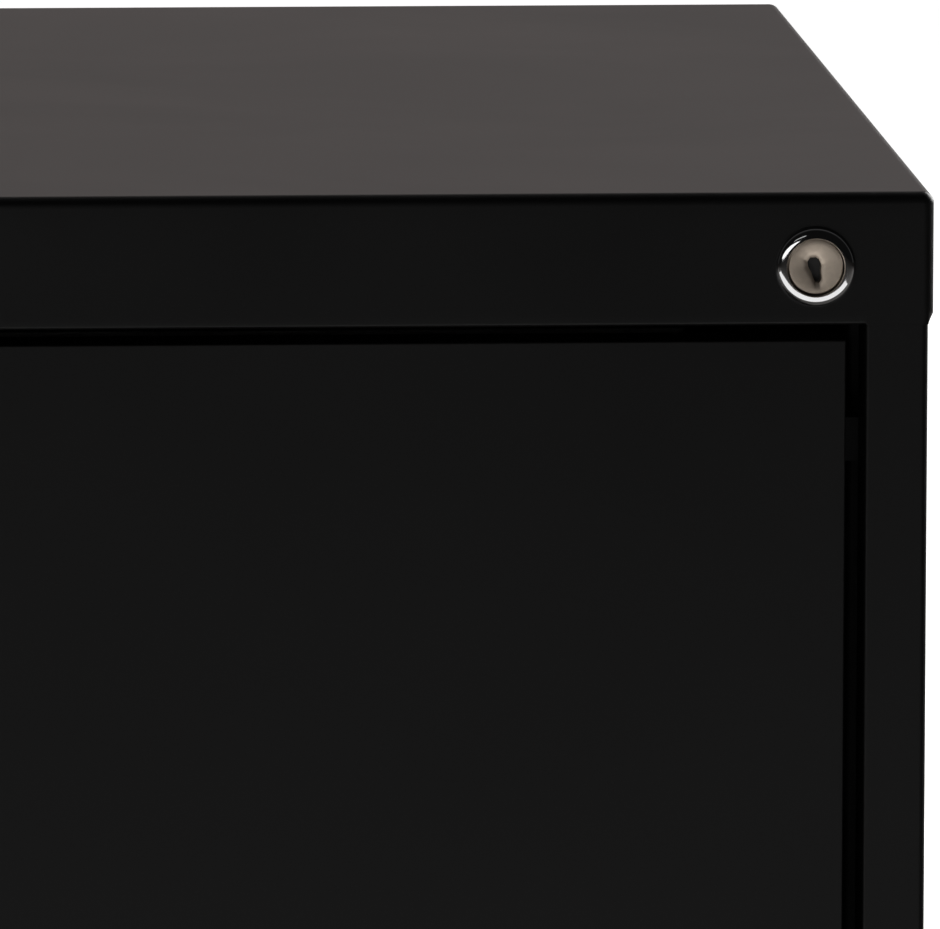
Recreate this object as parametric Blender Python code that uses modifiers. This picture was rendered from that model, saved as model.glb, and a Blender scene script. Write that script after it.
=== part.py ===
"""Two-drawer lateral filing cabinet in folded sheet steel, with a cam lock and telescopic slides.

Metres, +Z up. The front faces -Y and +X is on the right as seen from the front.
The origin is on the floor under the middle of the whole cabinet, pulls included.
"""

import math

import bmesh
import bpy
from mathutils import Vector

# Driving dimensions of the case.
CAP_WIDTH = 0.914
CASE_DEPTH = 0.457
HEIGHT = 0.711
CAP_DROP = 0.0362  # height of the cap's fascia and skirts
CAP_STEP = 0.0015  # how far the cap stands outside the side and back panels
CAP_SHEET = 0.0012
CAP_BEND = 0.0024  # outside radius of the cap's folds
SHEET = 0.001
POST_WIDTH = 0.0171  # the side panel's narrow front face
POST_RETURN = 0.020  # how far the panel folds back behind that face
PANEL_FOOT = 0.012
RAIL_DEPTH = 0.018
CROSS_INSET = 0.022  # from the front face to the rail between the drawers
CROSS_DEPTH = 0.018
CROSS_HEIGHT = 0.024
TOP_RAIL_INSET = 0.040
WEIGHT_HALF = 0.300
WEIGHT_DEPTH = 0.045
WEIGHT_HEIGHT = 0.025
UPRIGHT_DEPTH = 0.025
FRONT_UPRIGHT = 0.045  # from the front face to the front uprights
REAR_UPRIGHT = 0.387
PAN_TOP = 0.047
PAN_DROP = 0.030
GLIDE_INSET = 0.035  # from the bottom pan's edges to a glide's middle
GLIDE_HOLE = 0.005

# Driving dimensions of the drawers.
FRONT_HEIGHT = 0.3044
FRONT_DEPTH = 0.018
FRONT_BEND = 0.0012
LINER_BACK = 0.0195  # from the front face to the liner's rear face
LINER_DEPTH = 0.010
TOP_GAP = 0.0041
SIDE_GAP = 0.0054
MID_GAP = 0.005
TRAY_RAISE = 0.022  # from the front's lower edge to the tray's underside
TRAY_HEIGHT = 0.240
TRAY_X = 0.4242
TRAY_CLEAR = 0.036  # from the case's back to the tray's side plates
TRAVEL = 0.380
RAIL_HEIGHT = 0.015
RAIL_THICK = 0.003
FRONT_RAIL = 0.035  # from the front face to the front folder rail
FILE_WIDTH = 0.318  # between the folder rails, for letter-size folders

# Driving dimensions of the slides, the pull, the label holder and the lock.
SLIDE_RAISE = 0.085  # from the front's lower edge to the slide's middle
SLIDE_LENGTH = 0.400
SLIDE_START = 0.030
SLIDE_SHEET = 0.0012
PULL_REACH = 0.026  # how far a pull stands in front of its drawer front
PULL_HALF = 0.080
PULL_RADIUS = 0.005
PULL_DROP = 0.098  # from the front's top edge to the pull
HOLDER_HALF_X = 0.040
HOLDER_HALF_Z = 0.017
HOLDER_DEPTH = 0.0022
HOLDER_SHEET = 0.0005
HOLDER_LIP = 0.004
HOLDER_DROP = 0.046
LOCK_INSET = 0.0325  # from the cap's right edge to the lock's middle
LOCK_DROP = 0.0202
BARREL_RADIUS = 0.0095
PLUG_RADIUS = 0.0075
CAM_REACH = 0.022
CAM_SHEET = 0.0025
CAM_PIN = 0.002
BAR_SHEET = 0.002
BAR_HEAD = 0.022  # height of the bar's head
BAR_SLOT = 0.014  # height of the slot that the cam's pin runs in
BAR_FOOT = 0.110
HOOK_HEIGHT = 0.012
CATCH_RAISE = 0.250  # from the front's lower edge to the catch's middle
CATCH_HEIGHT = 0.010
GAP = 0.0003  # between pieces that touch

# Places that follow from them.
FRONT_Y = PULL_REACH / 2 - CASE_DEPTH / 2
BACK_Y = FRONT_Y + CASE_DEPTH
CAP_X = CAP_WIDTH / 2
PANEL_X = CAP_X - CAP_STEP
PANEL_BACK = BACK_Y - CAP_SHEET - 0.0008
PANEL_TOP = HEIGHT - CAP_BEND - GAP
INSIDE_X = PANEL_X - SHEET - GAP
POST_X = PANEL_X - POST_WIDTH
FRONT_X = POST_X - SIDE_GAP
PAN_FRONT = FRONT_Y + POST_RETURN + 0.0005
FASCIA_FOOT = HEIGHT - CAP_DROP
UPPER_BASE = FASCIA_FOOT - TOP_GAP - FRONT_HEIGHT
LOWER_BASE = UPPER_BASE - MID_GAP - FRONT_HEIGHT
BASE_RAIL_TOP = LOWER_BASE - TOP_GAP
SLIDE_X = POST_X - 0.0009
TRAY_FRONT = FRONT_Y + LINER_BACK + GAP
TRAY_BACK = BACK_Y - TRAY_CLEAR
LOCK_X = CAP_X - LOCK_INSET
LOCK_Z = HEIGHT - LOCK_DROP
CAM_Y = FRONT_Y + 0.0265
BAR_Y = CAM_Y + CAM_SHEET + 0.0015

# Finishes: base colour, roughness and metallic.
FINISHES = {
    "black_powder_coat": ((0.012, 0.012, 0.012, 1), 0.45, 0.0),
    "dark_inner_paint": ((0.020, 0.020, 0.021, 1), 0.55, 0.0),
    "bright_zinc": ((0.60, 0.60, 0.58, 1), 0.35, 1.0),
    "cast_iron_paint": ((0.03, 0.03, 0.03, 1), 0.70, 0.0),
    "chrome": ((0.80, 0.80, 0.80, 1), 0.08, 1.0),
    "satin_nickel": ((0.55, 0.52, 0.47, 1), 0.32, 1.0),
    "black_nylon": ((0.02, 0.02, 0.02, 1), 0.50, 0.0),
    "white_card": ((0.80, 0.79, 0.75, 1), 0.80, 0.0),
}


def clear_scene():
    """Remove every object that the file opened with."""
    for thing in list(bpy.data.objects):
        bpy.data.objects.remove(thing)


def new_collection(name):
    """Add a collection under the scene."""
    group = bpy.data.collections.new(name)
    bpy.context.scene.collection.children.link(group)
    return group


def put_in(thing, group):
    """Move an object into one collection only."""
    for holder in list(thing.users_collection):
        holder.objects.unlink(thing)
    group.objects.link(thing)


def dress(thing, name, finish, frame=None):
    """Name a piece, file it, give it its own material and hang it on its moving frame."""
    thing.name = name
    thing.data.name = name
    put_in(thing, CABINET)
    colour, roughness, metallic = FINISHES[finish]
    material = bpy.data.materials.new(name + "_" + finish)
    material.use_nodes = True
    shader = material.node_tree.nodes["Principled BSDF"]
    shader.inputs["Base Color"].default_value = colour
    shader.inputs["Roughness"].default_value = roughness
    shader.inputs["Metallic"].default_value = metallic
    thing.data.materials.append(material)
    if frame is not None:
        thing.parent = frame
        thing.location = thing.location - frame.location
    return thing


def moving_frame(name, place):
    """An empty on a joint's axis, which the pieces that move together hang on."""
    empty = bpy.data.objects.new(name, None)
    empty.empty_display_size = 0.02
    empty.location = place
    CABINET.objects.link(empty)
    return empty


def object_from(mesh_builder, place=(0, 0, 0)):
    """Make an object at place from a bmesh, which is then freed."""
    mesh = bpy.data.meshes.new("piece")
    mesh_builder.to_mesh(mesh)
    mesh_builder.free()
    thing = bpy.data.objects.new("piece", mesh)
    thing.location = place
    bpy.context.scene.collection.objects.link(thing)
    return thing


def box_mesh(size):
    """A bmesh box of this size about its own middle."""
    builder = bmesh.new()
    bmesh.ops.create_cube(builder, size=1)
    bmesh.ops.scale(builder, vec=size, verts=builder.verts)
    return builder


def block(low, high):
    """A solid box between two corners."""
    low = Vector(low)
    high = Vector(high)
    return object_from(box_mesh(high - low), (low + high) / 2)


def solidify(thing, sheet):
    """Give an open surface a wall, on the side that its faces turn away from."""
    wall = thing.modifiers.new("wall", "SOLIDIFY")
    wall.thickness = sheet
    wall.offset = -1
    wall.use_even_offset = True


def pan(low, high, open_side, sheet, bend=0.0):
    """A folded sheet box that is open on one side, with rounded folds where bend isn't zero."""
    low = Vector(low)
    high = Vector(high)
    builder = box_mesh(high - low)
    builder.normal_update()
    lid = [face for face in builder.faces if face.normal.dot(Vector(open_side)) > 0.9]
    bmesh.ops.delete(builder, geom=lid, context="FACES")
    if bend:
        folds = [edge for edge in builder.edges if not edge.is_boundary]
        bmesh.ops.bevel(
            builder,
            geom=folds,
            offset=bend,
            offset_type="OFFSET",
            affect="EDGES",
            segments=3,
            profile=0.5,
            material=-1,
        )
    thing = object_from(builder, (low + high) / 2)
    solidify(thing, sheet)
    return thing


def folded_strip(outline, along, start, end, sheet):
    """A sheet folded along an open outline in the plane square to along, with its wall inside.

    The outline is listed so that its outer side is on the left of each step, seen with along
    pointing at the viewer.
    """
    axis = "XYZ".index(along)
    first = (axis + 1) % 3
    second = (axis + 2) % 3
    middle = Vector((0, 0, 0))
    middle[axis] = (start + end) / 2
    middle[first] = outline[0][0]
    middle[second] = outline[0][1]
    builder = bmesh.new()
    corners = []
    for across, up in outline:
        point = Vector((0, 0, 0))
        point[axis] = start
        point[first] = across
        point[second] = up
        corners.append(builder.verts.new(point - middle))
    edges = [builder.edges.new(pair) for pair in zip(corners, corners[1:])]
    swept = bmesh.ops.extrude_edge_only(builder, edges=edges)
    lifted = [item for item in swept["geom"] if isinstance(item, bmesh.types.BMVert)]
    shift = Vector((0, 0, 0))
    shift[axis] = end - start
    bmesh.ops.translate(builder, vec=shift, verts=lifted)
    builder.normal_update()
    outward = Vector((0, 0, 0))
    outward[first] = outline[0][1] - outline[1][1]
    outward[second] = outline[1][0] - outline[0][0]
    if edges[0].link_faces[0].normal.dot(outward) < 0:
        bmesh.ops.reverse_faces(builder, faces=builder.faces)
    thing = object_from(builder, middle)
    solidify(thing, sheet)
    return thing


def turned(rings, steps, place, closed=False, forward=False):
    """A turned solid from (radius, height) rings, listed down the outer side.

    closed joins the last ring to the first, for a hollow piece. forward points the axis at -Y.
    """
    builder = bmesh.new()
    points = [builder.verts.new((radius, 0, height)) for radius, height in rings]
    pairs = list(zip(points, points[1:]))
    if closed:
        pairs.append((points[-1], points[0]))
    for pair in pairs:
        builder.edges.new(pair)
    thing = object_from(builder, place)
    if forward:
        thing.rotation_euler = (math.radians(90), 0, 0)
    turn = thing.modifiers.new("turn", "SCREW")
    turn.axis = "Z"
    turn.steps = steps
    turn.render_steps = steps
    turn.use_merge_vertices = True
    turn.merge_threshold = 0.00001
    return thing


def cutter(thing, name):
    """File a piece as a cutter, which isn't part of the cabinet."""
    thing.name = name
    put_in(thing, CUTTERS)
    thing.hide_render = True
    thing.display_type = "WIRE"
    return thing


def combine(thing, tool, operation):
    """Cut a piece with a cutter or join it to one."""
    step = thing.modifiers.new(tool.name, "BOOLEAN")
    step.operation = operation
    step.solver = "EXACT"
    step.object = tool


def round_bar(radius, low_y, high_y, x, z, steps=24):
    """A plain cylinder along Y."""
    builder = bmesh.new()
    bmesh.ops.create_cone(
        builder,
        cap_ends=True,
        segments=steps,
        radius1=radius,
        radius2=radius,
        depth=high_y - low_y,
    )
    thing = object_from(builder, (x, (low_y + high_y) / 2, z))
    thing.rotation_euler = (math.radians(90), 0, 0)
    return thing


def flat_plate(outlines, thickness, place):
    """A flat plate that stands in the XZ plane, from closed outlines. Inner outlines are holes."""
    curve = bpy.data.curves.new("plate", "CURVE")
    curve.dimensions = "2D"
    curve.fill_mode = "BOTH"
    curve.extrude = thickness / 2
    for outline in outlines:
        spline = curve.splines.new("POLY")
        spline.points.add(len(outline) - 1)
        for point, (across, up) in zip(spline.points, outline):
            point.co = (across, up, 0, 1)
        spline.use_cyclic_u = True
    drawn = bpy.data.objects.new("drawn", curve)
    bpy.context.scene.collection.objects.link(drawn)
    thing = made_mesh(drawn)
    thing.location = place
    thing.rotation_euler = (math.radians(90), 0, 0)
    return thing


def made_mesh(drawn):
    """Turn a curve object into a closed mesh object and remove the curve."""
    bpy.context.view_layer.update()
    graph = bpy.context.evaluated_depsgraph_get()
    mesh = bpy.data.meshes.new_from_object(drawn.evaluated_get(graph), depsgraph=graph)
    builder = bmesh.new()
    builder.from_mesh(mesh)
    bmesh.ops.remove_doubles(builder, verts=builder.verts, dist=0.00001)
    builder.to_mesh(mesh)
    builder.free()
    thing = bpy.data.objects.new("piece", mesh)
    bpy.context.scene.collection.objects.link(thing)
    thing.matrix_world = drawn.matrix_world.copy()
    bpy.data.objects.remove(drawn)
    return thing


def top_cap():
    """The folded lid: top, front fascia and skirts, with the lock's hole in the fascia."""
    low = (-CAP_X, FRONT_Y, FASCIA_FOOT)
    high = (CAP_X, BACK_Y, HEIGHT)
    thing = pan(low, high, (0, 0, -1), CAP_SHEET, CAP_BEND)
    reach = 0.005  # how far the cutter stands clear of the fascia
    hole = round_bar(BARREL_RADIUS + GAP, FRONT_Y - reach, FRONT_Y + reach, LOCK_X, LOCK_Z, 32)
    combine(thing, cutter(hole, "lock_hole"), "DIFFERENCE")
    dress(thing, "top_cap", "black_powder_coat")


def side_panel(side, label):
    """One side with its narrow front post, which stops under the cap's fascia."""
    outline = [
        (side * POST_X, FRONT_Y + POST_RETURN),
        (side * POST_X, FRONT_Y),
        (side * PANEL_X, FRONT_Y),
        (side * PANEL_X, PANEL_BACK),
    ]
    if side > 0:
        outline.reverse()
    thing = folded_strip(outline, "Z", PANEL_FOOT, PANEL_TOP, SHEET)
    reach = 0.010  # how far the cutter stands clear of the sheet
    edges = sorted((side * (POST_X - reach), side * (PANEL_X + reach)))
    low = (edges[0], FRONT_Y - reach, FASCIA_FOOT - GAP)
    high = (edges[1], FRONT_Y + CAP_BEND + GAP, HEIGHT + reach)
    combine(thing, cutter(block(low, high), "fascia_notch_" + label), "DIFFERENCE")
    dress(thing, "side_panel_" + label, "black_powder_coat")


def cross_channel(half_width, front, depth, low_z, high_z):
    """A channel across the case, with its back open."""
    outline = [
        (front + depth, low_z),
        (front, low_z),
        (front, high_z),
        (front + depth, high_z),
    ]
    return folded_strip(outline, "X", -half_width, half_width, SHEET)


def case_plates():
    """The back, the bottom pan, the rails that tie the sides, and the counterweight."""
    back = block(
        (-INSIDE_X, PANEL_BACK - SHEET, PANEL_FOOT + 0.0025),
        (INSIDE_X, PANEL_BACK, PANEL_TOP),
    )
    dress(back, "back_panel", "black_powder_coat")

    floor = pan(
        (-INSIDE_X, PAN_FRONT, PAN_TOP - PAN_DROP),
        (INSIDE_X, PANEL_BACK - SHEET - GAP, PAN_TOP),
        (0, 0, -1),
        SHEET,
    )
    for label, x, y in glide_places():
        hole = round_bar(GLIDE_HOLE, -GLIDE_HOLE, GLIDE_HOLE, 0, 0)
        hole.rotation_euler = (0, 0, 0)
        hole.location = (x, y, PAN_TOP)
        combine(floor, cutter(hole, "glide_hole_" + label), "DIFFERENCE")
    dress(floor, "bottom_pan", "dark_inner_paint")

    base_rail = cross_channel(POST_X - GAP, FRONT_Y, RAIL_DEPTH, PANEL_FOOT, BASE_RAIL_TOP)
    dress(base_rail, "base_rail", "black_powder_coat")
    middle = UPPER_BASE - MID_GAP / 2
    low_z = middle - CROSS_HEIGHT / 2
    cross_rail = cross_channel(SLIDE_X, FRONT_Y + CROSS_INSET, CROSS_DEPTH, low_z, low_z + CROSS_HEIGHT)
    dress(cross_rail, "cross_rail", "dark_inner_paint")
    high_z = PANEL_TOP
    top_rail = cross_channel(SLIDE_X, FRONT_Y + TOP_RAIL_INSET, CROSS_DEPTH, high_z - CROSS_HEIGHT, high_z)
    dress(top_rail, "top_rail", "dark_inner_paint")

    weight_back = PANEL_BACK - TRAY_CLEAR + SHEET
    weight = block(
        (-WEIGHT_HALF, weight_back - WEIGHT_DEPTH, PAN_TOP + GAP),
        (WEIGHT_HALF, weight_back, PAN_TOP + WEIGHT_HEIGHT),
    )
    dress(weight, "counterweight", "cast_iron_paint")


def uprights(side, label):
    """The channels inside one side panel that carry the slides."""
    for place, start in (("front", FRONT_UPRIGHT), ("rear", REAR_UPRIGHT)):
        low_y = FRONT_Y + start
        outline = [
            (side * INSIDE_X, low_y),
            (side * (SLIDE_X + GAP), low_y),
            (side * (SLIDE_X + GAP), low_y + UPRIGHT_DEPTH),
            (side * INSIDE_X, low_y + UPRIGHT_DEPTH),
        ]
        if side < 0:
            outline.reverse()
        thing = folded_strip(outline, "Z", PAN_TOP + GAP, PANEL_TOP - 0.008, SHEET)
        dress(thing, "upright_" + place + "_" + label, "dark_inner_paint")


def glide_places():
    """The four levelling glides: label, x and y."""
    places = []
    for side, label in ((-1, "left"), (1, "right")):
        x = side * (INSIDE_X - GLIDE_INSET)
        places.append(("front_" + label, x, PAN_FRONT + GLIDE_INSET))
        places.append(("rear_" + label, x, PANEL_BACK - GLIDE_INSET))
    return places


def glides():
    """Levelling glides: a nylon foot on a threaded stem through the bottom pan."""
    for label, x, y in glide_places():
        rings = [
            (0.0, 0.062),
            (0.0042, 0.062),
            (0.0042, 0.0125),
            (0.0085, 0.0125),
            (0.0085, 0.0095),
            (0.0155, 0.0055),
            (0.0165, 0.0040),
            (0.0165, 0.0),
            (0.0, 0.0),
        ]
        thing = turned(rings, 24, (x, y, 0))
        dress(thing, "glide_" + label, "black_nylon")


def lock_case_pieces():
    """The chrome lock housing with its raised rim, and the nut that holds it behind the fascia."""
    bore = PLUG_RADIUS + GAP + 0.00005
    rings = [
        (BARREL_RADIUS, GAP),
        (BARREL_RADIUS, -0.0240),
        (bore, -0.0240),
        (bore, 0.0012),
        (0.0084, 0.0019),
        (0.0092, 0.0023),
        (0.0100, 0.0021),
        (0.0107, 0.0014),
        (0.0110, GAP),
    ]
    housing = turned(rings, 48, (LOCK_X, FRONT_Y, LOCK_Z), closed=True, forward=True)
    dress(housing, "lock_housing", "chrome")

    nut_front = FRONT_Y + CAP_SHEET + GAP
    nut = round_bar(0.0138, nut_front, nut_front + 0.004, LOCK_X, LOCK_Z, 6)
    bore_tool = round_bar(BARREL_RADIUS + GAP, nut_front - 0.01, nut_front + 0.01, LOCK_X, LOCK_Z, 32)
    combine(nut, cutter(bore_tool, "nut_bore"), "DIFFERENCE")
    dress(nut, "lock_nut", "bright_zinc")


def lock_moving_pieces():
    """The plug with its keyway and the cam behind it, which turn together about Y."""
    turning = moving_frame("lock_turn_axis", (LOCK_X, FRONT_Y, LOCK_Z))
    rings = [
        (0.0, 0.0004),
        (0.0060, 0.0008),
        (0.0071, 0.0009),
        (PLUG_RADIUS, 0.0005),
        (PLUG_RADIUS, -0.0255),
        (0.0, -0.0255),
    ]
    plug = turned(rings, 48, (LOCK_X, FRONT_Y, LOCK_Z), forward=True)
    key_low = (LOCK_X - 0.0012, FRONT_Y - 0.003, LOCK_Z - 0.0042)
    key_high = (LOCK_X + 0.0012, FRONT_Y + 0.018, LOCK_Z + 0.0036)
    combine(plug, cutter(block(key_low, key_high), "keyway"), "DIFFERENCE")
    dress(plug, "lock_plug", "satin_nickel", turning)

    hub = 0.0075
    tip = 0.0050
    outline = []
    for number in range(13):
        angle = math.radians(75 + 210 * number / 12)
        outline.append((hub * math.cos(angle), hub * math.sin(angle)))
    for number in range(9):
        angle = math.radians(-75 + 150 * number / 8)
        outline.append((CAM_REACH + tip * math.cos(angle), tip * math.sin(angle)))
    cam = flat_plate([outline], CAM_SHEET, (LOCK_X, CAM_Y + CAM_SHEET / 2, LOCK_Z))
    pin_back = BAR_Y + BAR_SHEET + 0.0015
    pin = round_bar(CAM_PIN, CAM_Y + CAM_SHEET / 2, pin_back, LOCK_X + CAM_REACH, LOCK_Z, 16)
    combine(cam, cutter(pin, "cam_pin"), "UNION")
    dress(cam, "lock_cam", "bright_zinc", turning)


def lock_bar():
    """The flat bar behind the right post, with the cam's slot in its head, and a hook for each drawer."""
    left = POST_X + 0.0025
    right = PANEL_X - 0.0035
    middle_y = BAR_Y + BAR_SHEET / 2
    sliding = moving_frame("lock_bar_axis", ((left + right) / 2, middle_y, LOCK_Z))
    head_low = LOCK_Z - BAR_HEAD / 2
    head_high = LOCK_Z + BAR_HEAD / 2
    head_left = LOCK_X - 0.0065
    outline = [
        (right, BAR_FOOT),
        (right, head_high),
        (head_left, head_high),
        (head_left, head_low),
        (left, head_low),
        (left, BAR_FOOT),
    ]
    slot_left = LOCK_X - 0.0035
    slot_right = LOCK_X + CAM_REACH + 0.0032
    slot = [
        (slot_left, LOCK_Z - BAR_SLOT / 2),
        (slot_right, LOCK_Z - BAR_SLOT / 2),
        (slot_right, LOCK_Z + BAR_SLOT / 2),
        (slot_left, LOCK_Z + BAR_SLOT / 2),
    ]
    bar = flat_plate([outline, slot], BAR_SHEET, (0, middle_y, 0))
    dress(bar, "lock_bar", "dark_inner_paint", sliding)
    for label, base in (("upper", UPPER_BASE), ("lower", LOWER_BASE)):
        foot = base + CATCH_RAISE - CATCH_HEIGHT / 2 + CAM_REACH
        hook = block(
            (POST_X - 0.0080, BAR_Y, foot),
            (left - GAP, BAR_Y + BAR_SHEET, foot + HOOK_HEIGHT),
        )
        dress(hook, label + "_lock_hook", "dark_inner_paint", sliding)


def slide_member(side, middle, outer, inner, half, opens_in):
    """One rolled channel of a telescopic slide, as high as twice half, between two distances from X 0."""
    web = outer if opens_in else inner
    lip = inner if opens_in else outer
    outline = [
        (middle + half, side * lip),
        (middle + half, side * web),
        (middle - half, side * web),
        (middle - half, side * lip),
    ]
    if (side > 0) == opens_in:
        outline.reverse()
    low_y = FRONT_Y + SLIDE_START
    return folded_strip(outline, "Y", low_y, low_y + SLIDE_LENGTH, SLIDE_SHEET)


def drawer(label, base):
    """One drawer: front, liner, tray, folder rails, pull, label holder, lock catch and slides."""
    sliding = moving_frame(label + "_drawer_axis", (0, FRONT_Y, base + SLIDE_RAISE))
    top = base + FRONT_HEIGHT

    front = pan(
        (-FRONT_X, FRONT_Y, base),
        (FRONT_X, FRONT_Y + FRONT_DEPTH, top),
        (0, 1, 0),
        SHEET,
        FRONT_BEND,
    )
    dress(front, label + "_front", "black_powder_coat", sliding)

    inset = SHEET + GAP
    liner = pan(
        (-FRONT_X + inset, FRONT_Y + LINER_BACK - LINER_DEPTH, base + inset),
        (FRONT_X - inset, FRONT_Y + LINER_BACK, top - inset),
        (0, -1, 0),
        SHEET,
    )
    dress(liner, label + "_liner", "dark_inner_paint", sliding)

    tray_low = base + TRAY_RAISE
    tray_top = tray_low + TRAY_HEIGHT
    for side, name in ((-1, "left"), (1, "right")):
        edges = sorted((side * TRAY_X, side * (TRAY_X - SHEET)))
        plate = block((edges[0], TRAY_FRONT, tray_low), (edges[1], TRAY_BACK, tray_top))
        dress(plate, label + "_tray_" + name, "dark_inner_paint", sliding)

    back = block((-TRAY_X, TRAY_BACK + GAP, tray_low), (TRAY_X, TRAY_BACK + GAP + SHEET, tray_top))
    dress(back, label + "_tray_back", "dark_inner_paint", sliding)
    inner_x = TRAY_X - SHEET - GAP
    floor = block((-inner_x, TRAY_FRONT, tray_low), (inner_x, TRAY_BACK, tray_low + SHEET))
    dress(floor, label + "_tray_bottom", "dark_inner_paint", sliding)

    for place, start in (("front", FRONT_RAIL), ("rear", FRONT_RAIL + FILE_WIDTH)):
        rail = block(
            (-inner_x, FRONT_Y + start, tray_top - RAIL_HEIGHT),
            (inner_x, FRONT_Y + start + RAIL_THICK, tray_top),
        )
        dress(rail, label + "_folder_rail_" + place, "bright_zinc", sliding)

    pull(label, top, sliding)
    label_holder(label, top, sliding)

    catch_outline = [
        (FRONT_X - 0.0065, TRAY_FRONT),
        (FRONT_X - 0.0065, FRONT_Y + 0.0365),
        (POST_X - 0.0025, FRONT_Y + 0.0365),
    ]
    catch_low = base + CATCH_RAISE - CATCH_HEIGHT / 2
    catch = folded_strip(catch_outline, "Z", catch_low, catch_low + CATCH_HEIGHT, 0.0015)
    dress(catch, label + "_lock_catch", "dark_inner_paint", sliding)

    middle = base + SLIDE_RAISE
    for side, name in ((-1, "left"), (1, "right")):
        fixed = slide_member(side, middle, SLIDE_X, SLIDE_X - 0.0100, 0.0225, True)
        dress(fixed, label + "_slide_fixed_" + name, "bright_zinc")
        place = (side * (SLIDE_X - 0.0060), FRONT_Y + SLIDE_START, middle)
        between = moving_frame(label + "_slide_" + name + "_axis", place)
        travelling = slide_member(side, middle, SLIDE_X - 0.0021, SLIDE_X - 0.0105, 0.0185, True)
        dress(travelling, label + "_slide_middle_" + name, "bright_zinc", between)
        carried = slide_member(side, middle, SLIDE_X - 0.0040, TRAY_X + GAP, 0.0140, False)
        dress(carried, label + "_slide_inner_" + name, "bright_zinc", sliding)


def pull(label, top, sliding):
    """A bowed round-bar pull whose ends stand square on the drawer front."""
    curve = bpy.data.curves.new("bow", "CURVE")
    curve.dimensions = "3D"
    curve.bevel_depth = PULL_RADIUS
    curve.bevel_resolution = 2
    curve.use_fill_caps = True
    spline = curve.splines.new("POLY")
    count = 17
    spline.points.add(count - 1)
    roundness = 0.42
    reach = PULL_REACH - PULL_RADIUS - GAP
    for number, point in enumerate(spline.points):
        angle = math.pi * number / (count - 1)
        across = -math.copysign(abs(math.cos(angle)) ** roundness, math.cos(angle))
        if number in (0, 1, count - 2, count - 1):
            across = math.copysign(1, across)  # the ends stand square on the front
        out = 0 if number in (0, count - 1) else math.sin(angle) ** roundness
        point.co = (PULL_HALF * across, -GAP - reach * out, 0, 1)
    drawn = bpy.data.objects.new("drawn", curve)
    drawn.location = (0, FRONT_Y, top - PULL_DROP)
    bpy.context.scene.collection.objects.link(drawn)
    dress(made_mesh(drawn), label + "_pull", "satin_nickel", sliding)


def label_holder(label, top, sliding):
    """A folded frame on the drawer front with a card behind its window."""
    middle = top - HOLDER_DROP
    low = (-HOLDER_HALF_X, FRONT_Y - GAP - HOLDER_DEPTH, middle - HOLDER_HALF_Z)
    high = (HOLDER_HALF_X, FRONT_Y - GAP, middle + HOLDER_HALF_Z)
    holder = pan(low, high, (0, 1, 0), HOLDER_SHEET)
    window_x = HOLDER_HALF_X - HOLDER_LIP
    window_z = HOLDER_HALF_Z - HOLDER_LIP
    window = block(
        (-window_x, FRONT_Y - 0.010, middle - window_z),
        (window_x, FRONT_Y + 0.010, middle + window_z),
    )
    combine(holder, cutter(window, label + "_window"), "DIFFERENCE")
    dress(holder, label + "_label_holder", "satin_nickel", sliding)
    card_x = HOLDER_HALF_X - HOLDER_SHEET - GAP
    card_z = HOLDER_HALF_Z - HOLDER_SHEET - GAP
    card = block(
        (-card_x, FRONT_Y - 0.0014, middle - card_z),
        (card_x, FRONT_Y - 0.0010, middle + card_z),
    )
    dress(card, label + "_label_card", "white_card", sliding)


clear_scene()
CABINET = new_collection("filing_cabinet")
CUTTERS = new_collection("cutters")
top_cap()
for SIDE, LABEL in ((-1, "left"), (1, "right")):
    side_panel(SIDE, LABEL)
    uprights(SIDE, LABEL)
case_plates()
glides()
lock_case_pieces()
lock_moving_pieces()
lock_bar()
drawer("upper", UPPER_BASE)
drawer("lower", LOWER_BASE)
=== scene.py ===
"""Looks of a two-drawer lateral filing cabinet in black powder-coated sheet steel.

Metres. The front faces -Y and +X is on the right as seen from the front. Sections follow the
order in which the cabinet is put together, from its base to the labels on its drawers.
"""

import math

import bmesh
import bpy
from mathutils import Matrix, Vector


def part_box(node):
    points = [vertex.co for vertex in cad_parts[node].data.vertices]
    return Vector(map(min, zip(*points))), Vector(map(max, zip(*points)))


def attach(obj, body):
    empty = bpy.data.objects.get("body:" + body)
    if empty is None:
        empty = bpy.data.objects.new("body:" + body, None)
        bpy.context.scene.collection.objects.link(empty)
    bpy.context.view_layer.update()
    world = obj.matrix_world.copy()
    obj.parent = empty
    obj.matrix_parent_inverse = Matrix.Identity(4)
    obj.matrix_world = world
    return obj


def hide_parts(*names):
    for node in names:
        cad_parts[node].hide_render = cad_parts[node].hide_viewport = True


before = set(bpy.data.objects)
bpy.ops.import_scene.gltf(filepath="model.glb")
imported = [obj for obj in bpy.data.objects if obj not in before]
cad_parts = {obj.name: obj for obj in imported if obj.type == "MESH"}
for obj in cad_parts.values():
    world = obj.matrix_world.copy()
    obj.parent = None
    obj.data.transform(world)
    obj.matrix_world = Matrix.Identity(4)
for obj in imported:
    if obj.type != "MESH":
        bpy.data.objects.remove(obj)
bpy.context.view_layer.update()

# ---------------------------------------------------------------------------------------------
# Bottom pan. Folded 1 mm sheet under thin dark paint, welded between the sides. The paint is
# sprayed thin on all the inner parts, so it shows a little mottling and fine dust.


def shader_group(name, inputs, outputs):
    """An empty node group with float or vector sockets, and its input and output nodes."""
    group = bpy.data.node_groups.new(name, "ShaderNodeTree")
    for label, kind, value in inputs:
        socket = group.interface.new_socket(label, in_out="INPUT", socket_type=kind)
        if value is not None:
            socket.default_value = value
    for label in outputs:
        group.interface.new_socket(label, in_out="OUTPUT", socket_type="NodeSocketFloat")
    entry = group.nodes.new("NodeGroupInput")
    leave = group.nodes.new("NodeGroupOutput")
    return group, entry, leave


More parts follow.
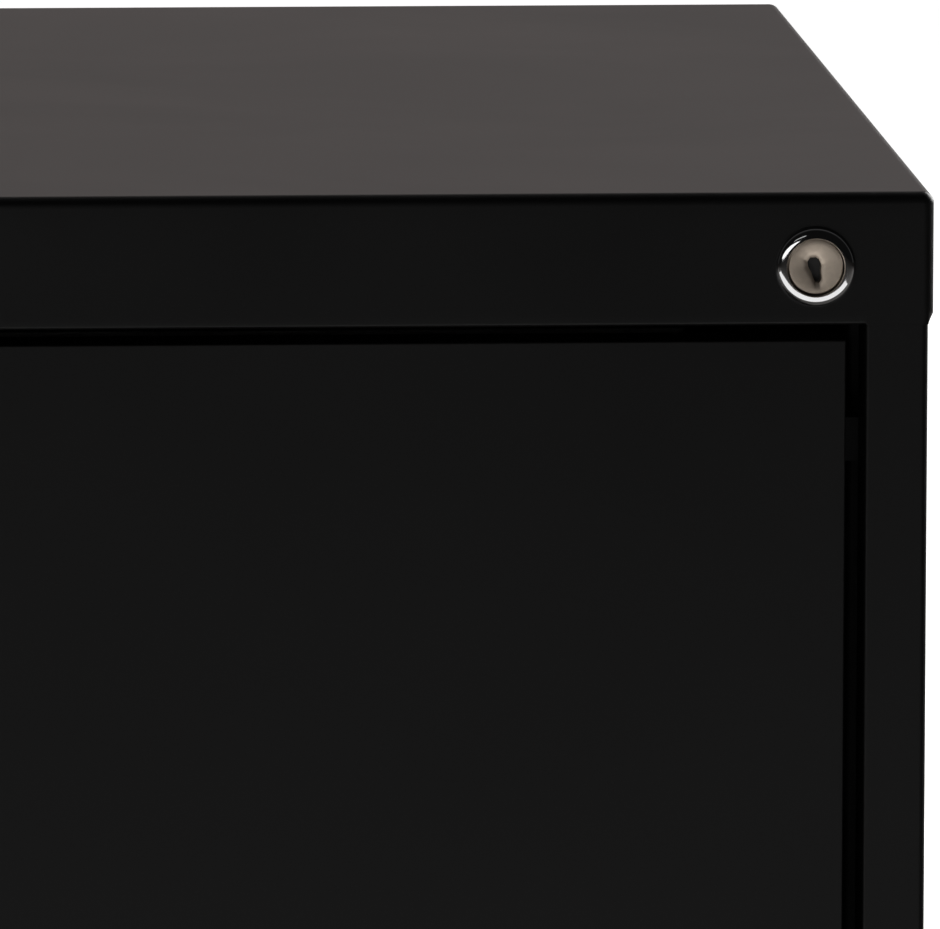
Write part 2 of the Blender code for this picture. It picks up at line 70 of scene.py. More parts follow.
def noise(tree, position, scale, detail=2.0, roughness=0.5, distortion=0.0):
    """A noise texture on a position socket."""
    node = tree.nodes.new("ShaderNodeTexNoise")
    node.inputs["Detail"].default_value = detail
    node.inputs["Roughness"].default_value = roughness
    node.inputs["Distortion"].default_value = distortion
    tree.links.new(position, node.inputs["Vector"])
    if isinstance(scale, float):
        node.inputs["Scale"].default_value = scale
    else:
        tree.links.new(scale, node.inputs["Scale"])
    return node.outputs["Fac"]


def remap(tree, value, low, high, new_low, new_high):
    """Stretch a value's range from low..high to new_low..new_high, clamped."""
    node = tree.nodes.new("ShaderNodeMapRange")
    node.inputs["From Min"].default_value = low
    node.inputs["From Max"].default_value = high
    node.inputs["To Min"].default_value = new_low
    node.inputs["To Max"].default_value = new_high
    tree.links.new(value, node.inputs["Value"])
    return node.outputs["Result"]


coat_group, coat_in, coat_out = shader_group(
    "coat_texture",
    [("Position", "NodeSocketVector", None), ("Peel Scale", "NodeSocketFloat", 900.0)],
    ["Peel", "Cloud", "Speck"],
)
peel = noise(coat_group, coat_in.outputs["Position"], coat_in.outputs["Peel Scale"], 2.0, 0.45)
cloud = noise(coat_group, coat_in.outputs["Position"], 7.0, 3.0, 0.55, 0.4)
grit = noise(coat_group, coat_in.outputs["Position"], 2600.0, 1.0, 0.4)
coat_group.links.new(peel, coat_out.inputs["Peel"])
coat_group.links.new(remap(coat_group, cloud, 0.3, 0.7, 0.0, 1.0), coat_out.inputs["Cloud"])
coat_group.links.new(remap(coat_group, grit, 0.66, 0.74, 0.0, 1.0), coat_out.inputs["Speck"])


def new_finish(name):
    """A material with its tree, its Principled shader and an Object coordinate socket."""
    material = bpy.data.materials.new(name)
    material.use_nodes = True
    tree = material.node_tree
    place = tree.nodes.new("ShaderNodeTexCoord")
    return material, tree, tree.nodes["Principled BSDF"], place.outputs["Object"]


def blend_colours(tree, factor, first, second):
    """A colour between two, by a mask."""
    node = tree.nodes.new("ShaderNodeMix")
    node.data_type = "RGBA"
    node.inputs["A"].default_value = (*first, 1)
    node.inputs["B"].default_value = (*second, 1)
    tree.links.new(factor, node.inputs["Factor"])
    return node.outputs["Result"]


def bump(tree, shader, height, strength, distance):
    """Feed a height to a shader's normal."""
    node = tree.nodes.new("ShaderNodeBump")
    node.inputs["Strength"].default_value = strength
    node.inputs["Distance"].default_value = distance
    tree.links.new(height, node.inputs["Height"])
    tree.links.new(node.outputs["Normal"], shader.inputs["Normal"])


def painted_finish(name, low_tone, high_tone, smooth, dull, peel_scale, peel_height, sheen):
    """Sprayed paint on sheet steel: two close tones in clouds, fine specks and orange peel."""
    material, tree, shader, place = new_finish(name)
    shader.inputs["Specular IOR Level"].default_value = sheen
    coat = tree.nodes.new("ShaderNodeGroup")
    coat.node_tree = coat_group
    coat.inputs["Peel Scale"].default_value = peel_scale
    tree.links.new(place, coat.inputs["Position"])
    tone = blend_colours(tree, coat.outputs["Cloud"], low_tone, high_tone)
    speckled = tree.nodes.new("ShaderNodeMix")
    speckled.data_type = "RGBA"
    speckled.blend_type = "ADD"
    speckled.inputs["B"].default_value = (0.006, 0.006, 0.006, 1)
    tree.links.new(coat.outputs["Speck"], speckled.inputs["Factor"])
    tree.links.new(tone, speckled.inputs["A"])
    tree.links.new(speckled.outputs["Result"], shader.inputs["Base Color"])
    tree.links.new(remap(tree, coat.outputs["Cloud"], 0.0, 1.0, smooth, dull), shader.inputs["Roughness"])
    bump(tree, shader, coat.outputs["Peel"], 0.35, peel_height)
    return material


inner_paint = painted_finish(
    "dark_inner_paint", (0.016, 0.016, 0.017), (0.021, 0.021, 0.022), 0.46, 0.56, 700.0, 0.00008, 0.4
)


def repaint(node, finish):
    """Give a CAD node that keeps its own shape a finish."""
    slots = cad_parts[node].material_slots
    for held in slots:
        held.material = finish


repaint("bottom_pan", inner_paint)

# ---------------------------------------------------------------------------------------------
# Levelling glides. A moulded nylon foot with a hexagon collar and a threaded M8 stem, screwed up
# through the bottom pan at each corner.


def turn(profile, steps, place, forward=False):
    """A turned bmesh from (radius, height) points, about Z, or about -Y where forward is set."""
    builder = bmesh.new()
    points = [builder.verts.new((radius, 0, height)) for radius, height in profile]
    for pair in zip(points, points[1:]):
        builder.edges.new(pair)
    bmesh.ops.spin(
        builder,
        geom=builder.verts[:] + builder.edges[:],
        cent=(0, 0, 0),
        axis=(0, 0, 1),
        angle=math.tau,
        steps=steps,
        use_merge=True,
    )
    bmesh.ops.remove_doubles(builder, verts=builder.verts, dist=0.000002)
    bmesh.ops.recalc_face_normals(builder, faces=builder.faces)
    if forward:
        face_forward = Matrix.Rotation(math.pi / 2, 3, "X")
        bmesh.ops.rotate(builder, cent=(0, 0, 0), matrix=face_forward, verts=builder.verts)
    bmesh.ops.translate(builder, vec=place, verts=builder.verts)
    return builder


def round_edges(builder, edges, radius, segments, clamped=False):
    """Round these edges of a bmesh."""
    bmesh.ops.bevel(
        builder,
        geom=edges,
        offset=radius,
        affect="EDGES",
        segments=segments,
        profile=0.5,
        material=-1,
        clamp_overlap=clamped,
    )


def add_builder(target, extra):
    """Add one bmesh's shapes to another as a separate shell, and free it."""
    held = bpy.data.meshes.new("held")
    extra.to_mesh(held)
    extra.free()
    target.from_mesh(held)
    bpy.data.meshes.remove(held)


def set_piece(builder, name, body, finish, stands_for=(), crease=32):
    """Turn a bmesh into a named piece that rides on a body."""
    mesh = bpy.data.meshes.new(name)
    builder.to_mesh(mesh)
    builder.free()
    mesh.shade_smooth()
    mesh.set_sharp_from_angle(angle=math.radians(crease))
    mesh.materials.append(finish)
    piece = bpy.data.objects.new(name, mesh)
    bpy.context.scene.collection.objects.link(piece)
    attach(piece, body)
    if stands_for:
        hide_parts(*stands_for)
    return piece


def plastic_finish():
    """Moulded black nylon with a fine spark-eroded grain."""
    material, tree, shader, place = new_finish("black_nylon")
    grain = noise(tree, place, 1800.0, 2.0, 0.6)
    tone = blend_colours(tree, grain, (0.012, 0.012, 0.013), (0.02, 0.02, 0.021))
    tree.links.new(tone, shader.inputs["Base Color"])
    tree.links.new(remap(tree, grain, 0.3, 0.7, 0.42, 0.58), shader.inputs["Roughness"])
    bump(tree, shader, grain, 0.4, 0.00006)
    return material


nylon = plastic_finish()
collar_radius = 0.0085
collar_height = 0.006
collar_middle = 0.0155
stem_foot = 0.0172
stem_radius = 0.0041
thread_pitch = 0.00125
thread_depth = 0.0006
for glide in ("front_left", "front_right", "rear_left", "rear_right"):
    low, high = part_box("glide_" + glide)
    middle = (low + high) / 2
    foot_radius = (high.x - low.x) / 2
    foot_profile = [
        (0.0, 0.0135),
        (0.0042, 0.0135),
        (0.0075, 0.0128),
        (0.0110, 0.0085),
        (foot_radius - 0.0012, 0.0052),
        (foot_radius - 0.0003, 0.0044),
        (foot_radius, 0.0034),
        (foot_radius, 0.0012),
        (foot_radius - 0.0008, 0.0002),
        (foot_radius - 0.0020, 0.0),
        (0.0, 0.0),
    ]
    foot = turn(foot_profile, 48, (middle.x, middle.y, low.z))
    collar = bmesh.new()
    bmesh.ops.create_cone(
        collar, cap_ends=True, segments=6, radius1=collar_radius, radius2=collar_radius, depth=collar_height
    )
    round_edges(collar, collar.edges[:], 0.0005, 2)
    bmesh.ops.translate(collar, vec=(middle.x, middle.y, low.z + collar_middle), verts=collar.verts)
    add_builder(foot, collar)
    stem_profile = [(0.0, high.z)]
    for ridge in range(int((high.z - 0.019) / thread_pitch)):
        stem_profile.append((stem_radius - thread_depth, high.z - ridge * thread_pitch))
        stem_profile.append((stem_radius, high.z - (ridge + 0.5) * thread_pitch))
    stem_profile += [(stem_radius, stem_foot), (0.0, stem_foot)]
    add_builder(foot, turn(stem_profile, 20, (middle.x, middle.y, low.z)))
    set_piece(foot, "glide_foot_" + glide, "case", nylon, ["glide_" + glide])

# ---------------------------------------------------------------------------------------------
# Side panels. Each side is one 1 mm sheet, folded round at the front into the narrow post and its
# return, and at the rear into a flange. Black powder coat, smooth, with a low even sheen.


def only(items, kind):
    """The items of one bmesh type."""
    return [item for item in items if isinstance(item, kind)]


def fold(outline, sweep, bends, outward, segments=5):
    """A sheet folded along an open outline and swept by a vector.

    bends holds the outside radius at each inner point of the outline, and outward is a direction
    that the first face looks towards.
    """
    builder = bmesh.new()
    corners = [builder.verts.new(point) for point in outline]
    edges = [builder.edges.new(pair) for pair in zip(corners, corners[1:])]
    swept = bmesh.ops.extrude_edge_only(builder, edges=edges)["geom"]
    bmesh.ops.translate(builder, vec=sweep, verts=only(swept, bmesh.types.BMVert))
    builder.normal_update()
    if edges[0].link_faces[0].normal.dot(Vector(outward)) < 0:
        bmesh.ops.reverse_faces(builder, faces=builder.faces)
    across = [
        next(edge for edge in corner.link_edges if len(edge.link_faces) == 2) for corner in corners[1:-1]
    ]
    for radius in sorted(set(bends)):
        chosen = [edge for edge, bend in zip(across, bends) if bend == radius]
        round_edges(builder, chosen, radius, segments)
    return builder


def set_sheet(builder, name, body, finish, stands_for, thickness):
    """A folded bmesh made a piece of sheet metal, walled inwards, with soft cut edges."""
    piece = set_piece(builder, name, body, finish, stands_for, crease=180)
    wall = piece.modifiers.new("sheet", "SOLIDIFY")
    wall.thickness = thickness
    wall.offset = -1
    wall.use_even_offset = True
    wall.use_quality_normals = True
    soften = piece.modifiers.new("edges", "BEVEL")
    soften.width = 0.0002
    soften.segments = 2
    soften.limit_method = "ANGLE"
    soften.angle_limit = math.radians(50)
    level = piece.modifiers.new("flats", "WEIGHTED_NORMAL")
    level.weight = 80
    level.keep_sharp = False


black_coat = painted_finish(
    "black_powder_coat", (0.0055, 0.0055, 0.0055), (0.0067, 0.0067, 0.0067), 0.33, 0.37, 1100.0, 0.00003, 0.25
)
sheet = 0.001
post_return = 0.020
rear_flange = 0.014
fascia_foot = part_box("top_cap")[0].z
for side, hand in ((-1, "left"), (1, "right")):
    node = "side_panel_" + hand
    low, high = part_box(node)
    post_x = side * min(abs(low.x), abs(high.x))
    panel_x = side * max(abs(low.x), abs(high.x))
    outline = [
        (post_x, low.y + post_return, low.z),
        (post_x, low.y, low.z),
        (panel_x, low.y, low.z),
        (panel_x, high.y, low.z),
        (panel_x - side * rear_flange, high.y, low.z),
    ]
    panel = fold(outline, (0, 0, fascia_foot - low.z), (0.0009, 0.0020, 0.0015), (-side, 0, 0))
    set_sheet(panel, "side_sheet_" + hand, "case", black_coat, [node], sheet)

# ---------------------------------------------------------------------------------------------
# Slide uprights. Four channels, spot-welded inside the sides, in dark paint, with a row of slots
# to hang the slides from.


def cut_across(builder, places, axis):
    """Cut a bmesh with planes square to an axis, at these places."""
    square = Vector((0, 0, 0))
    square["XYZ".index(axis)] = 1
    for place in places:
        bmesh.ops.bisect_plane(
            builder,
            geom=builder.verts[:] + builder.edges[:] + builder.faces[:],
            plane_co=square * place,
            plane_no=square,
            dist=0.000001,
        )


slot_half = 0.0030
slot_height = 0.012
slot_pitch = 0.0254
first_slot = 0.020
last_margin = 0.010
for hand, side in (("left", -1), ("right", 1)):
    for place in ("front", "rear"):
        node = "upright_" + place + "_" + hand
        low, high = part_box(node)
        wall_x = low.x if side > 0 else high.x
        root_x = high.x if side > 0 else low.x
        outline = [
            (root_x, low.y, low.z),
            (wall_x, low.y, low.z),
            (wall_x, high.y, low.z),
            (root_x, high.y, low.z),
        ]
        channel = fold(outline, (0, 0, high.z - low.z), (0.0015, 0.0015), (0, -1, 0), 4)
        middle_y = (low.y + high.y) / 2
        levels = []
        level_z = low.z + first_slot
        while level_z + slot_height < high.z - last_margin:
            levels.append(level_z)
            level_z += slot_pitch
        cut_across(channel, (middle_y - slot_half, middle_y + slot_half), "Y")
        cut_across(channel, [level_z + end for level_z in levels for end in (0, slot_height)], "Z")
        holes = []
        for face in channel.faces:
            centre = face.calc_center_median()
            in_slot = any(level_z < centre.z < level_z + slot_height for level_z in levels)
            if in_slot and abs(centre.y - middle_y) < slot_half and abs(centre.x - wall_x) < 0.0005:
                holes.append(face)
        bmesh.ops.delete(channel, geom=holes, context="FACES")
        set_sheet(channel, "slotted_" + node, "case", inner_paint, [node], sheet)

# ---------------------------------------------------------------------------------------------
# Back panel. One sheet lapped inside the side flanges, with a shallow pressed field that keeps it
# from drumming, and a row of blind rivets down each lap.


def press_fields(builder, fields, push, slope, rounding=0.0015):
    """Press the faces between each pair of corners by a vector, with sloped and rounded walls."""
    thin = max(range(3), key=lambda axis: abs(Vector(push)[axis]))
    for axis in range(3):
        if axis != thin:
            places = sorted({round(corner[axis], 6) for field in fields for corner in field})
            cut_across(builder, places, "XYZ"[axis])
    walls = set()
    for low, high in fields:
        chosen = []
        for face in builder.faces:
            centre = face.calc_center_median()
            if all(low[axis] < centre[axis] < high[axis] for axis in range(3)):
                chosen.append(face)
        rims = bmesh.ops.inset_region(builder, faces=chosen, thickness=slope, depth=0.0, use_even_offset=True)
        moved = {vert for face in chosen for vert in face.verts}
        bmesh.ops.translate(builder, vec=push, verts=list(moved))
        walls.update(rims["faces"])
    inner = [edge for edge in builder.edges if not edge.is_boundary]
    folds = [edge for edge in inner if any(face in walls for face in edge.link_faces)]
    round_edges(builder, folds, rounding, 3, clamped=True)


def solid_box(low, high):
    """A closed box between two corners."""
    low = Vector(low)
    high = Vector(high)
    builder = bmesh.new()
    bmesh.ops.create_cube(builder, size=1)
    bmesh.ops.scale(builder, vec=high - low, verts=builder.verts)
    bmesh.ops.translate(builder, vec=(low + high) / 2, verts=builder.verts)
    builder.normal_update()
    return builder


def flat_sheet(low, high, facing):
    """A flat sheet on the outer side of a thin box: the side that looks along facing."""
    builder = solid_box(low, high)
    others = [face for face in builder.faces if face.normal.dot(Vector(facing)) < 0.9]
    bmesh.ops.delete(builder, geom=others, context="FACES")
    return builder


def heads_at(profile, steps, places):
    """Turned heads that look to the rear, one at each place, in one bmesh."""
    heads = bmesh.new()
    for place in places:
        head = turn(profile, steps, (0, 0, 0), forward=True)
        bmesh.ops.rotate(head, cent=(0, 0, 0), matrix=Matrix.Rotation(math.pi, 3, "Z"), verts=head.verts)
        bmesh.ops.translate(head, vec=place, verts=head.verts)
        add_builder(heads, head)
    return heads


back_low, back_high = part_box("back_panel")
lap = 0.0012
lap_gap = 0.002
back = flat_sheet(
    (back_low.x + lap_gap, back_low.y, back_low.z),
    (back_high.x - lap_gap, back_high.y - lap, back_high.z - lap_gap),
    (0, 1, 0),
)
back_margin = 0.075
back_top_margin = 0.095
back_field = (
    (back_low.x + back_margin, back_low.y - 0.01, back_low.z + back_margin),
    (back_high.x - back_margin, back_high.y + 0.01, back_high.z - back_top_margin),
)
press_fields(back, [back_field], (0, 0.0022, 0), 0.010, 0.003)
set_sheet(back, "back_sheet", "case", black_coat, ["back_panel"], sheet)

rivet_profile = [(0.0, 0.0011), (0.0014, 0.0010), (0.0024, 0.0006), (0.0030, 0.0001), (0.0031, -0.0006)]
rivet_count = 7
rivet_margin = 0.030
rivet_x = back_high.x - 0.0062
rivet_pitch = (fascia_foot - back_low.z - 2 * rivet_margin) / (rivet_count - 1)
rivet_places = []
for side in (-1, 1):
    for number in range(rivet_count):
        rivet_places.append((side * rivet_x, back_high.y, back_low.z + rivet_margin + number * rivet_pitch))
rivets = heads_at(rivet_profile, 16, rivet_places)
set_piece(rivets, "back_rivets", "case", black_coat)

# ---------------------------------------------------------------------------------------------
# Rails. The base rail is a folded channel between the posts, in the outer coat. The cross rail
# and the top rail behind the fascia are plain channels in inner paint.
low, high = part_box("base_rail")
outline = [(low.x, high.y, high.z), (low.x, low.y, high.z), (low.x, low.y, low.z), (low.x, high.y, low.z)]
rail = fold(outline, (high.x - low.x, 0, 0), (0.0012, 0.0012), (0, 0, 1))
set_sheet(rail, "base_rail_sheet", "case", black_coat, ["base_rail"], sheet)
repaint("cross_rail", inner_paint)
repaint("top_rail", inner_paint)

# ---------------------------------------------------------------------------------------------
# Counterweight. A steel bar under rough dark primer, laid on the bottom pan at the rear so that
# the cabinet doesn't tip when a drawer is open.
primer = painted_finish(
    "cast_iron_primer", (0.018, 0.018, 0.018), (0.030, 0.029, 0.028), 0.62, 0.74, 420.0, 0.0003, 0.4
)
repaint("counterweight", primer)

# ---------------------------------------------------------------------------------------------
# Telescopic slides. Three rolled steel channels on each side of a drawer, in bright zinc: one on
# the uprights, one in the middle that carries the balls, and one on the drawer. A black nylon stop
# closes the front end of each outer one.


marks_group, marks_in, marks_out = shader_group(
    "metal_marks",
    [("Position", "NodeSocketVector", None), ("Stretch", "NodeSocketVector", (1.0, 1.0, 1.0))],
    ["Lines", "Smudge", "Bloom"],
)
stretched = marks_group.nodes.new("ShaderNodeVectorMath")
stretched.operation = "MULTIPLY"
marks_group.links.new(marks_in.outputs["Position"], stretched.inputs[0])
marks_group.links.new(marks_in.outputs["Stretch"], stretched.inputs[1])
lines = noise(marks_group, stretched.outputs["Vector"], 60.0, 4.0, 0.65)
smudge = noise(marks_group, marks_in.outputs["Position"], 45.0, 3.0, 0.5, 0.6)
bloom = noise(marks_group, marks_in.outputs["Position"], 320.0, 2.0, 0.6, 1.2)
marks_group.links.new(lines, marks_out.inputs["Lines"])
marks_group.links.new(remap(marks_group, smudge, 0.4, 0.7, 0.0, 1.0), marks_out.inputs["Smudge"])
marks_group.links.new(remap(marks_group, bloom, 0.35, 0.65, 0.0, 1.0), marks_out.inputs["Bloom"])


def plated_finish(name, low_tone, high_tone, smooth, dull, stretch, line_height):
    """Plated metal: drawn or turned lines, cloudy smudges and a faint crystalline bloom."""
    material, tree, shader, place = new_finish(name)
    marks = tree.nodes.new("ShaderNodeGroup")
    marks.node_tree = marks_group
    marks.inputs["Stretch"].default_value = stretch
    tree.links.new(place, marks.inputs["Position"])
    tone = blend_colours(tree, marks.outputs["Bloom"], low_tone, high_tone)
    tree.links.new(tone, shader.inputs["Base Color"])
    tree.links.new(remap(tree, marks.outputs["Smudge"], 0.0, 1.0, smooth, dull), shader.inputs["Roughness"])
    shader.inputs["Metallic"].default_value = 1.0
    bump(tree, shader, marks.outputs["Lines"], 0.3, line_height)
    return material


zinc = plated_finish("bright_zinc", (0.50, 0.50, 0.49), (0.64, 0.64, 0.63), 0.31, 0.37, (8, 0.3, 8), 0.00002)
slide_sheet = 0.0012


def slide_channel(node, opens, name, body):
    """Roll one slide member from its CAD box. opens is the X side that its mouth looks to."""
    low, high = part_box(node)
    web_x = low.x if opens > 0 else high.x
    lip_x = high.x if opens > 0 else low.x
    outline = [
        (lip_x, low.y, high.z),
        (web_x, low.y, high.z),
        (web_x, low.y, low.z),
        (lip_x, low.y, low.z),
    ]
    channel = fold(outline, (0, high.y - low.y, 0), (0.0030, 0.0030), (0, 0, 1), 6)
    set_sheet(channel, name, body, zinc, [node], slide_sheet)


stop_depth = 0.004
stop_width = 0.0018
stop_lap = 0.0002
stop_gap = 0.0003
stop_margin = 0.0004
ball_radius = 0.0015
ball_pitch = 0.0095
ball_count = 14
first_ball = 0.012
for drawer in ("upper", "lower"):
    for side, hand in ((-1, "left"), (1, "right")):
        carrier = f"{drawer}_slide_{hand}"
        slide_channel(f"{drawer}_slide_fixed_{hand}", -side, f"{drawer}_slide_outer_{hand}", "case")
        slide_channel(f"{drawer}_slide_middle_{hand}", -side, f"{drawer}_slide_between_{hand}", carrier)
        slide_channel(
            f"{drawer}_slide_inner_{hand}", side, f"{drawer}_slide_carried_{hand}", f"{drawer}_drawer"
        )
        low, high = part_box(f"{drawer}_slide_fixed_{hand}")
        web_x = side * max(abs(low.x), abs(high.x))
        stop_ends = sorted((web_x + side * stop_lap, web_x - side * stop_width))
        stop = solid_box(
            (stop_ends[0], low.y - stop_depth, low.z + stop_margin),
            (stop_ends[1], low.y - stop_gap, high.z - stop_margin),
        )
        round_edges(stop, stop.edges[:], 0.0004, 2)
        set_piece(stop, f"{drawer}_slide_stop_{hand}", "case", nylon)
        low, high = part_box(f"{drawer}_slide_middle_{hand}")
        inner_low, inner_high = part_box(f"{drawer}_slide_inner_{hand}")
        balls = bmesh.new()
        gap_high = (high.z - slide_sheet + inner_high.z) / 2
        gap_low = (low.z + slide_sheet + inner_low.z) / 2
        ball_x = (low.x + high.x) / 2
        for raceway_z in (gap_low, gap_high):
            for number in range(ball_count):
                ball_y = low.y + first_ball + number * ball_pitch
                spot = Matrix.Translation((ball_x, ball_y, raceway_z))
                bmesh.ops.create_icosphere(balls, subdivisions=2, radius=ball_radius, matrix=spot)
        set_piece(balls, f"{drawer}_slide_balls_{hand}", carrier, zinc)

# ---------------------------------------------------------------------------------------------
# Top cap. One 1.2 mm sheet folded down on all four sides, with welded and dressed corners. Its
# skirts stand 1.5 mm outside the panels and turn in at the foot, and its fascia runs flush into the
# posts and folds back over the drawer opening.


def folded_box(low, high, open_side, bend, segments=5):
    """A box of folded sheet that is open on one side."""
    builder = solid_box(low, high)
    lid = [face for face in builder.faces if face.normal.dot(Vector(open_side)) > 0.9]
    bmesh.ops.delete(builder, geom=lid, context="FACES")
    folds = [edge for edge in builder.edges if not edge.is_boundary]
    round_edges(builder, folds, bend, segments)
    return builder


cap_low, cap_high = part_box("top_cap")
panel_low, panel_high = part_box("side_panel_right")
opening_x = panel_low.x
cap_sheet = 0.0012
cap_fold = 0.0032
hem = 0.0030
lip_radius = 0.0010
lip_steps = 5
lip_depth = 0.010
cap = folded_box(cap_low + Vector((0, 0, hem)), cap_high, (0, 0, -1), cap_fold, 8)
cut_across(cap, (-opening_x, opening_x), "X")


def over_opening(edge):
    """Whether a rim edge is on the fascia, between the posts."""
    middle = (edge.verts[0].co + edge.verts[1].co) / 2
    return abs(middle.x) < opening_x and abs(middle.y - cap_low.y) < 0.0001


def draw_rim(builder, edges, shift):
    """Draw rim edges on by a vector and give the new points."""
    drawn = bmesh.ops.extrude_edge_only(builder, edges=edges)["geom"]
    points = only(drawn, bmesh.types.BMVert)
    bmesh.ops.translate(builder, vec=shift, verts=points)
    return points


def rim_between(builder, points):
    """The free edges that run between these points."""
    rim = [edge for edge in builder.edges if edge.is_boundary]
    return [edge for edge in rim if all(vert in points for vert in edge.verts)]


rim = [edge for edge in cap.edges if edge.is_boundary]
fascia_rim = [edge for edge in rim if over_opening(edge)]
skirt_rim = [edge for edge in rim if not over_opening(edge)]
for point in draw_rim(cap, skirt_rim, (0, 0, -hem)):
    point.co.x = max(-panel_high.x, min(panel_high.x, point.co.x))
    point.co.y = min(panel_high.y, point.co.y)
lip_rim = rim_between(cap, draw_rim(cap, fascia_rim, (0, 0, lip_radius - hem)))
for step in range(lip_steps):
    start = math.pi / 2 * step / lip_steps
    end = math.pi / 2 * (step + 1) / lip_steps
    inwards = lip_radius * (math.cos(start) - math.cos(end))
    downwards = lip_radius * (math.sin(end) - math.sin(start))
    lip_rim = rim_between(cap, draw_rim(cap, lip_rim, (0, inwards, -downwards)))
draw_rim(cap, lip_rim, (0, lip_depth, 0))

lock_low, lock_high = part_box("lock_housing")
lock_x = (lock_low.x + lock_high.x) / 2
lock_z = (lock_low.z + lock_high.z) / 2
lock_place = Vector((lock_x, cap_low.y, lock_z))
lock_hole = 0.0098
cell = 0.0125
cut_across(cap, (lock_x - cell, lock_x + cell), "X")
cut_across(cap, (lock_z - cell, lock_z + cell), "Z")
hole_face = min(cap.faces, key=lambda face: (face.calc_center_median() - lock_place).length)
square = hole_face.edges[:]
bmesh.ops.delete(cap, geom=[hole_face], context="FACES_ONLY")
split = bmesh.ops.subdivide_edges(cap, edges=square, cuts=11)
square = set(only(split["geom_inner"] + split["geom_split"], bmesh.types.BMEdge))
square = [edge for edge in cap.edges if edge in square and len(edge.link_faces) == 1]
drawn = bmesh.ops.extrude_edge_only(cap, edges=square)["geom"]
for point in only(drawn, bmesh.types.BMVert):
    spoke = Vector((point.co.x - lock_x, point.co.z - lock_z)).normalized() * lock_hole
    point.co = Vector((lock_x + spoke.x, cap_low.y, lock_z + spoke.y))
bmesh.ops.remove_doubles(cap, verts=cap.verts, dist=0.000001)
set_sheet(cap, "cap_sheet", "case", black_coat, ["top_cap"], cap_sheet)

# ---------------------------------------------------------------------------------------------
# Lock. A die-cast housing with a rolled chrome rim, held behind the fascia by a zinc nut. The
# satin nickel plug turns in it and carries a zinc cam, whose pin drops the painted lock bar. The
# catches on the drawers are in the outer coat.


def polished_finish():
    """Chrome plate with a trace of handling on it."""
    material, tree, shader, place = new_finish("chrome_plate")
    film = noise(tree, place, 180.0, 3.0, 0.5, 0.5)
    tone = blend_colours(tree, film, (0.80, 0.80, 0.81), (0.86, 0.86, 0.86))
    tree.links.new(tone, shader.inputs["Base Color"])
    tree.links.new(remap(tree, film, 0.35, 0.7, 0.04, 0.10), shader.inputs["Roughness"])
    shader.inputs["Metallic"].default_value = 1.0
    return material


chrome = polished_finish()
rim_radius = (lock_high.x - lock_low.x) / 2
plug_low, plug_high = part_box("lock_plug")
plug_radius = (plug_high.x - plug_low.x) / 2
bore = plug_radius + 0.0003
land_tilts = (5, 8, 11, 14, 17, 20)
land_step = 0.00024
side_steps = 10
barrel_radius = 0.0094
land_end = bore + 0.0003 + land_step * len(land_tilts)
slopes = [math.radians(24 + 64 * (number + 0.5) / side_steps) for number in range(side_steps)]
arc_step = (rim_radius - land_end) / sum(math.cos(slope) for slope in slopes)
barrel_end = -0.0240
rim_profile = [(barrel_radius, barrel_end), (barrel_radius, 0.0)]
radius = rim_radius
height = 0.0
for slope in reversed(slopes):
    rim_profile.append((radius, height))
    radius -= arc_step * math.cos(slope)
    height += arc_step * math.sin(slope)
for tilt in reversed(land_tilts):
    rim_profile.append((radius, height))
    radius -= land_step
    height += land_step * math.tan(math.radians(tilt))
rim_profile += [
    (radius, height),
    (bore + 0.0001, height - 0.0002),
    (bore, height - 0.0006),
    (bore, barrel_end),
    (barrel_radius, barrel_end),
]
rim = turn(rim_profile, 96, lock_place, forward=True)
set_piece(rim, "lock_rim", "case", chrome, ["lock_housing"])

nickel = plated_finish(
    "satin_nickel", (0.62, 0.527, 0.434), (0.68, 0.578, 0.476), 0.36, 0.44, (1, 1, 1), 0.00001
)


def keyway_reach(angle):
    """How far the keyway's edge is from the plug's middle. The outline is in millimetres."""
    outline = [
        (1.6, 0.6), (1.0, 1.9), (0.1, 2.6), (-1.5, 2.5), (-2.2, 1.5), (-2.0, 0.1),
        (-1.2, -1.4), (-0.7, -2.8), (-0.1, -4.2), (1.0, -4.3), (1.6, -3.3), (1.4, -1.2),
    ]
    heading = Vector((math.cos(angle), math.sin(angle)))
    best = 0.001
    for start, end in zip(outline, outline[1:] + outline[:1]):
        start = Vector(start)
        edge = Vector(end) - start
        bottom = heading.x * edge.y - heading.y * edge.x
        if abs(bottom) < 0.000001:
            continue
        along = (start.x * edge.y - start.y * edge.x) / bottom
        share = (start.x * heading.y - start.y * heading.x) / bottom
        if along > 0 and -0.001 <= share <= 1.001:
            best = along
    return best / 1000


plug_sides = 120
plug = bmesh.new()
bmesh.ops.create_circle(plug, cap_ends=False, segments=plug_sides, radius=1)
angles = [math.atan2(vert.co.y, vert.co.x) for vert in plug.verts]
reaches = [keyway_reach(angle) for angle in angles]
mouth = 0.00035
dish = 0.0012
plug_set_back = 0.0005
plug_rings = [
    (reaches, -0.0150),
    (reaches, -0.0005),
    ([reach + mouth for reach in reaches], -0.00028),
    ([reach + mouth + dish for reach in reaches], 0.00002),
    ([0.0062] * plug_sides, 0.00008),
    ([0.0068] * plug_sides, 0.00011),
    ([0.0072] * plug_sides, 0.00006),
    ([plug_radius] * plug_sides, -0.00020),
    ([plug_radius] * plug_sides, -0.0255),
]


def rim_of(drawn, ring):
    """The edges of what was drawn that run between the points of its new ring."""
    return [edge for edge in only(drawn, bmesh.types.BMEdge) if all(vert in ring for vert in edge.verts)]


def nearest_spot(heading):
    """The number of the plug's side that lies at this angle."""
    return min(range(plug_sides), key=lambda spot: abs(math.remainder(angles[spot] - heading, math.tau)))


